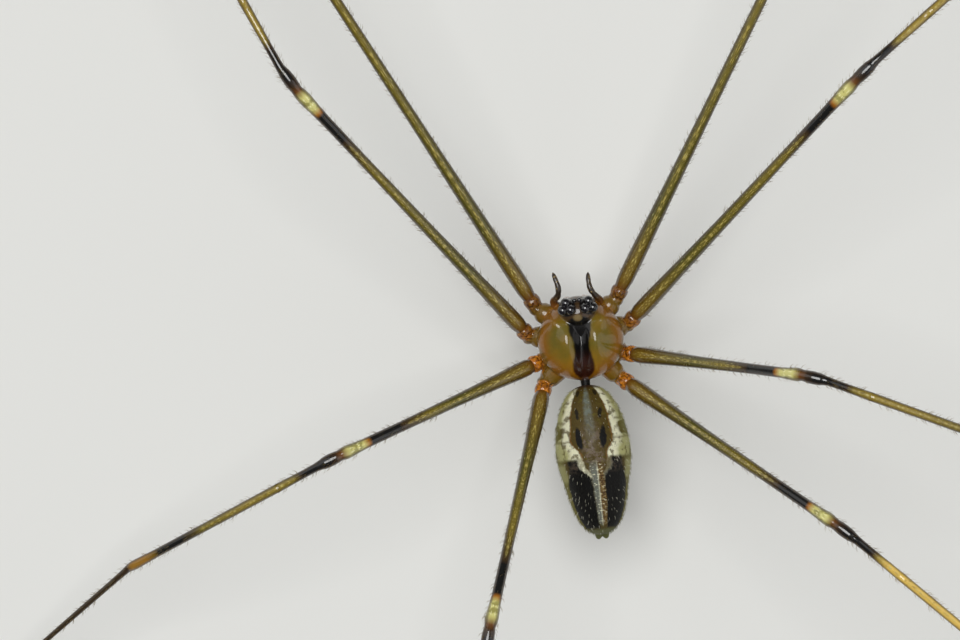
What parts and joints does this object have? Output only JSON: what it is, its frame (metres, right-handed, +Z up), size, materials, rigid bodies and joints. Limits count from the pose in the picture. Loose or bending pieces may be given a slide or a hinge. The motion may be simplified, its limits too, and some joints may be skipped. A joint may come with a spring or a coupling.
{
  "type": "cellar spider",
  "caption": "Life-size still model of a female cellar spider with very long thin jointed legs, standing with its body held low, for display or study.",
  "frame": {"origin": "on the ground, below the centre of the box round the whole animal", "axes": "+X to the animal's left, -Y ahead along its body, so its longest front leg reaches towards -Y, +Z up from the ground"},
  "size_m": [0.0402, 0.0564, 0.0068],
  "materials": {
    "carapace": "glossy amber cuticle with a black middle band",
    "eye": "black, wet gloss",
    "mouthparts": "brown cuticle, half gloss",
    "palp": "dark brown with pale specks",
    "abdomen": "soft cuticle, white, grey and brown with black patches",
    "leg": "olive-brown cuticle with black rings and pale yellow ends"
  },
  "bodies": {
    "root": {"cephalothorax": "carapace", "abdomen": "abdomen", "spinnerets": "abdomen", "eyes_left": "eye", "chelicera_left": "mouthparts", "palp_left": "palp", "eyes_right": "eye", "chelicera_right": "mouthparts", "palp_right": "palp", "leg_left_1_femur": "leg", "leg_left_1_tibia": "leg", "leg_left_1_foot": "leg", "leg_left_2_femur": "leg", "leg_left_2_tibia": "leg", "leg_left_2_foot": "leg", "leg_left_3_femur": "leg", "leg_left_3_tibia": "leg", "leg_left_3_foot": "leg", "leg_left_4_femur": "leg", "leg_left_4_tibia": "leg", "leg_left_4_foot": "leg", "leg_right_1_femur": "leg", "leg_right_1_tibia": "leg", "leg_right_1_foot": "leg", "leg_right_2_femur": "leg", "leg_right_2_tibia": "leg", "leg_right_2_foot": "leg", "leg_right_3_femur": "leg", "leg_right_3_tibia": "leg", "leg_right_3_foot": "leg", "leg_right_4_femur": "leg", "leg_right_4_tibia": "leg", "leg_right_4_foot": "leg"}
  },
  "joints": []
}
